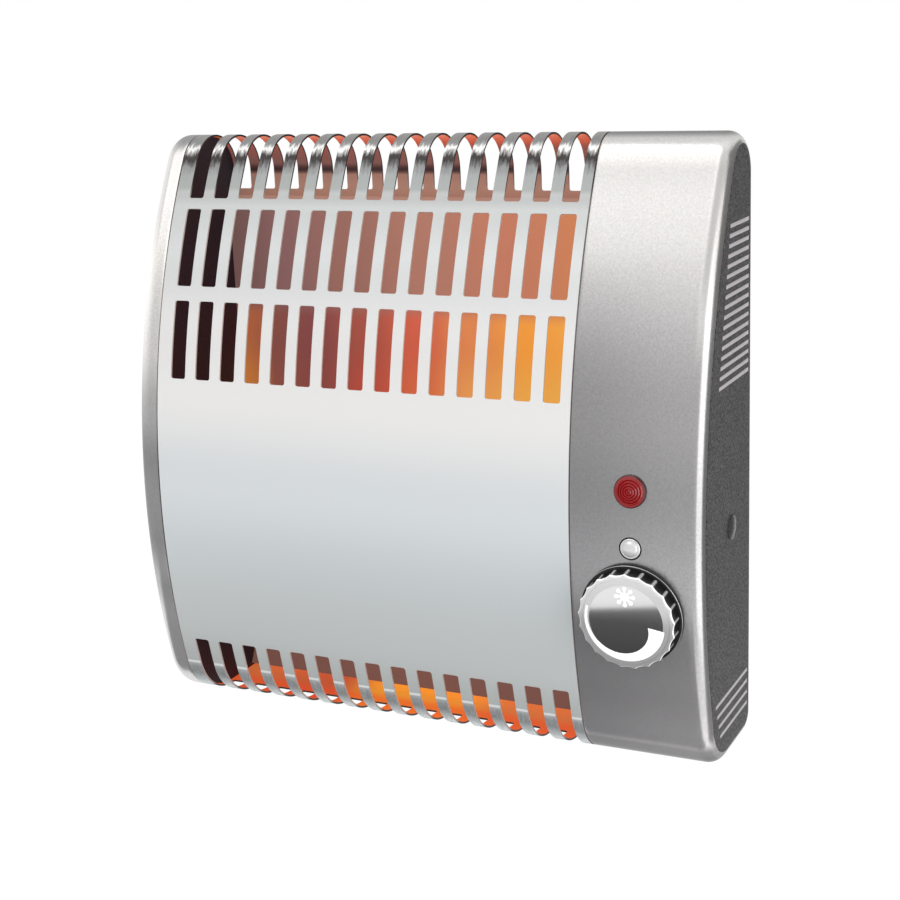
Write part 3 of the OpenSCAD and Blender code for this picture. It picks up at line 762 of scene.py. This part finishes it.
rings = [round_ring(r, w) for r, w in (
    (0.0244, 0.0006), (0.0248, 0.0008), (0.0249, 0.0011), (0.0249, 0.0014),
    (0.0247, 0.0017), (0.0244, 0.0018), (0.0238, 0.0018))]
rings += [crest_ring(body_r, w) for w in (0.0018, 0.0020, 0.0076)]
skirt_black = Finish("knob skirt", (24, 24, 26), 0.4)
# The rounded outer edge of the skirt is painted light: a painted highlight.
skirt_edge_highlight = Finish("painted highlight on the edge of the knob skirt", (190, 190, 192), 0.3, 0.5)
uneven(1100.0, 0.20, 0.12, skirt_black, skirt_edge_highlight)
# The crests are painted light as highlights; across and above are measured in the knob's
# tilted plane.
knob_black = Finish("knob body", (30, 30, 32), 0.34, coat_weight=0.3)
across = knob_black.x - seat.translation.x
above = knob_black.z - seat.translation.z - (knob_black.y - seat.translation.y) * 0.084
crest_highlight = (across * across + above * above).root().rise(0.02295, 0.0233)
knob_black.set("Base Color", crest_highlight.mix(lin(24, 24, 26), lin(190, 190, 192)))
crisp = radians(25.0)
knob = keep("knob_moulding", through_rings(rings), "knob",
            [skirt_black, knob_black, skirt_edge_highlight], ["thermostat_knob"], crisp)
for face in knob.data.polygons:
    far, up = from_axis(seat, face)
    if up > 0.00185:
        face.material_index = 1
    elif far > 0.02455 and up > 0.00135:
        face.material_index = 2

rings = [crest_ring(body_r, 0.0076), crest_ring(face_r, 0.0078),
         crest_ring(face_r, 0.0084), crest_ring(face_r - 0.0003, 0.0087)]
rings += [round_ring(r, w) for r, w in (
    (0.0222, 0.0088), (0.0213, 0.0088), (0.0212, 0.00855), (0.0209, 0.00855),
    (0.0208, 0.0088), (0.0179, 0.0088), (0.0100, 0.0088))]
face_satin_painted_shade = Finish("satin rim of the knob face", (222, 222, 222), 0.3, 0.35)
# The rim's tone is painted by height, darker below and lighter above: painted shade.
face_satin_painted_shade.set("Base Color", face_satin_painted_shade.z.ramp([
    (-0.088, 190, 190, 190), (-0.070, 196, 196, 196), (-0.058, 240, 240, 240),
    (-0.044, 248, 248, 248)]))
face_bright = Finish("bright middle of the knob face", (236, 236, 236), 0.045, 1.0)
# The turned edge is white and glows: a painted highlight.
face_edge_highlight = Finish("painted highlight on the turned edge of the knob face", (255, 255, 255), 0.2, 0.4)
face_edge_highlight.glow(lin(255, 255, 255), 0.25)
face_plate = keep("knob_plate", through_rings(rings), "knob",
                  [face_satin_painted_shade, face_bright, face_edge_highlight], ["knob_face"], crisp)
for face in face_plate.data.polygons:
    far, up = from_axis(seat, face)
    if up > 0.0087 and far < 0.0185:
        face.material_index = 1
    elif 0.0077 < up < 0.0087 and far > 0.0215:
        face.material_index = 2

# The print is white; its glow is painted light.
white_print_and_glow = Finish("white print and painted glow", (250, 250, 250), 0.5)
white_print_and_glow.glow(lin(255, 255, 255), 0.35)
dress(white_print_and_glow, "knob_markings")


# Indicator lamp, index stud.
# A pressed red lens with fine ribs over a neon lamp, and a domed pale stud in a small
# counterbore, which the knob's marks are set against.
def spun(place, outline):
    """A solid turned from (radius, height) points; the first and last lie on the axis."""
    bm = bmesh.new()
    verts = [bm.verts.new((r, 0.0, w)) for r, w in outline]
    edges = [bm.edges.new(pair) for pair in zip(verts, verts[1:])]
    bmesh.ops.spin(bm, geom=verts + edges, cent=(0, 0, 0), axis=(0, 0, 1), angle=tau,
                   steps=96, use_merge=True)
    bmesh.ops.remove_doubles(bm, verts=bm.verts, dist=1e-7)
    bmesh.ops.recalc_face_normals(bm, faces=bm.faces)
    bmesh.ops.transform(bm, matrix=place, verts=bm.verts)
    return bm


lens_red = Finish("red lens", (140, 8, 16), 0.14, coat_weight=0.6)
lens_red.glow(lin(180, 10, 18), 0.14)
# The rim of the lens is painted dark red: painted shade.
lens_rim_painted_shade = Finish("painted shade on the rim of the red lens", (74, 8, 12), 0.3)
uneven(900.0, 0.14, 0.06, lens_red, lens_rim_painted_shade)
outline = [(0.0, -0.010), (0.0066, -0.010), (0.0066, 0.0001), (0.0074, 0.0001),
           (0.00775, 0.0004), (0.0077, 0.0009), (0.0072, 0.0013), (0.0066, 0.0012)]
ribs, rib_pitch, rib_deep = 5, 0.00124, 0.0005
for k in range(ribs):
    r = 0.0063 - rib_pitch * k
    top = 0.0029 - 0.0014 * (r / 0.0066) ** 2
    outline += [(r, top - rib_deep), (r - 0.0004, top), (r - 0.0007, top),
                (r - 0.0010, top - rib_deep)]
lens = keep("lamp_lens", spun(on_front["lamp"], outline + [(0.0, 0.0030)]), "casing",
            [lens_red, lens_rim_painted_shade], ["indicator_lens"])
for face in lens.data.polygons:
    far, up = from_axis(on_front["lamp"], face)
    if far > 0.00725:
        face.material_index = 1

neon = Finish("neon lamp", (230, 120, 60), 0.3)
uneven(700.0, 0.07, 0.10, neon)
dress(neon, "indicator_lamp")

stud_light = Finish("index stud", (236, 236, 236), 0.22, 0.3, coat_weight=0.5)
uneven(700.0, 0.05, 0.08, stud_light)
dome_r, dome_high, dome_foot = 0.0037, 0.0015, 0.0005
dome = [(dome_r * cos(a), dome_foot + dome_high * sin(a)) for a in
        [pi / 2 * i / 10 for i in range(11)]]
keep("index_stud_head", spun(on_front["stud"], [
    (0.0, -0.005), (0.002, -0.005), (0.002, -0.0007), (0.0047, -0.0007), (0.0048, -0.0005),
    (0.0048, 0.0002), (0.0045, 0.0005), (0.0039, 0.0004)] + dome),
    "casing", [stud_light], ["index_stud"])


# Floor, light and camera.
# A plain pale floor and soft studio light, white to the camera. Grey and black cards out
# of the picture, which only reflections see, give the bright metal its darker side.
def card(name, place, size, turn, finish, seen=False):
    bm = bmesh.new()
    bmesh.ops.create_grid(bm, x_segments=1, y_segments=1, size=0.5)
    bmesh.ops.transform(bm, verts=bm.verts, matrix=Matrix.Translation(place) @ turn
                        @ Matrix.Diagonal((size[0], size[1], 1.0, 1.0)))
    board = keep(name, bm, None, [finish])
    board.visible_camera = board.visible_shadow = seen


level_turn = Matrix.Identity(4)
floor_paint = Finish("studio floor", (236, 236, 236), 0.8)
tree = floor_paint.tree
rays = tree.nodes.new("ShaderNodeLightPath")
seen = Wire(tree, rays.outputs["Is Camera Ray"])
shiny = Wire(tree, rays.outputs["Is Glossy Ray"])
white = tree.nodes.new("ShaderNodeEmission")
white.inputs["Strength"].default_value = 1.05
blend = tree.nodes.new("ShaderNodeMixShader")
tree.links.new((seen * 0.93).larger(shiny * 0.7).socket, blend.inputs[0])
tree.links.new(floor_paint.shader.outputs[0], blend.inputs[1])
tree.links.new(white.outputs[0], blend.inputs[2])
tree.links.new(blend.outputs[0], tree.nodes["Material Output"].inputs[0])
card("studio_floor", (0, 0, -0.95), (9.0, 9.0), level_turn, floor_paint, seen=True)

grey_card = Finish("grey card", (128, 128, 130), 0.9)
card("card_below", (-0.15, -0.3725, -0.399), (0.9, 0.545), level_turn, grey_card)
knob_card = Finish("card for the knob", (60, 60, 61), 0.9)
knob_card.set("Base Color", knob_card.y.ramp([
    (-0.67, 104, 104, 105), (-0.63, 70, 70, 71), (-0.55, 48, 48, 49)]))
card("card_for_the_knob", (-0.079, -0.600, -0.398), (0.15, 0.130),
     Matrix.Rotation(radians(-16), 4, "Z"), knob_card)
black_card = Finish("black card", (40, 40, 42), 0.9)
card("card_right", (0.75, 1.0, -0.1), (1.3, 2.1), Matrix.Rotation(pi / 2, 4, "Y"),
     black_card)

world = bpy.data.worlds.new("studio")
bpy.context.scene.world = world
world.use_nodes = True
tree = world.node_tree
rays = tree.nodes.new("ShaderNodeLightPath")
seen = Wire(tree, rays.outputs["Is Camera Ray"])
clear = Wire(tree, rays.outputs["Is Transmission Ray"])
shiny = Wire(tree, rays.outputs["Is Glossy Ray"])
level = seen.larger(clear).larger(shiny * 0.6).larger(0.7 * (1.0 - shiny))
tree.links.new(level.socket, tree.nodes["Background"].inputs["Strength"])
tree.nodes["Background"].inputs["Color"].default_value = (1.0, 1.0, 1.0, 1.0)


def lamp(name, place, aim, size, watts):
    data = bpy.data.lights.new(name, "AREA")
    data.shape = "RECTANGLE"
    data.size, data.size_y = size
    data.energy = watts
    light = bpy.data.objects.new(name, data)
    bpy.context.collection.objects.link(light)
    way = (Vector(aim) - Vector(place)).to_track_quat("-Z", "Y").to_matrix().to_4x4()
    light.matrix_world = Matrix.Translation(place) @ way


lamp("key", (-0.6, -1.05, 1.8), (0, 0, 0), (2.1, 2.1), 18)
lamp("strip", (1.02, -0.38, 0.0), (0.15, -0.08, 0), (0.8, 1.2), 4.5)

# The camera stands where the photograph was taken from.
camera_place = (0.3685, -0.7767, 0.2058)
yaw, pitch, roll = radians(26.055), radians(14.471), radians(-2.358)
look = Vector((-sin(yaw) * cos(pitch), cos(yaw) * cos(pitch), -sin(pitch)))
right = Vector((cos(yaw), sin(yaw), 0.0))
up = right.cross(look)
right, up = right * cos(roll) + up * sin(roll), up * cos(roll) - right * sin(roll)
optics = bpy.data.cameras.new("photo")
optics.lens = 67.307
optics.sensor_width = 36.0
camera = bpy.data.objects.new("photo", optics)
bpy.context.collection.objects.link(camera)
camera.matrix_world = Matrix.Translation(camera_place) @ Matrix(
    (right, up, -look)).transposed().to_4x4()
bpy.context.scene.camera = camera
bpy.context.scene.view_settings.view_transform = "Standard"
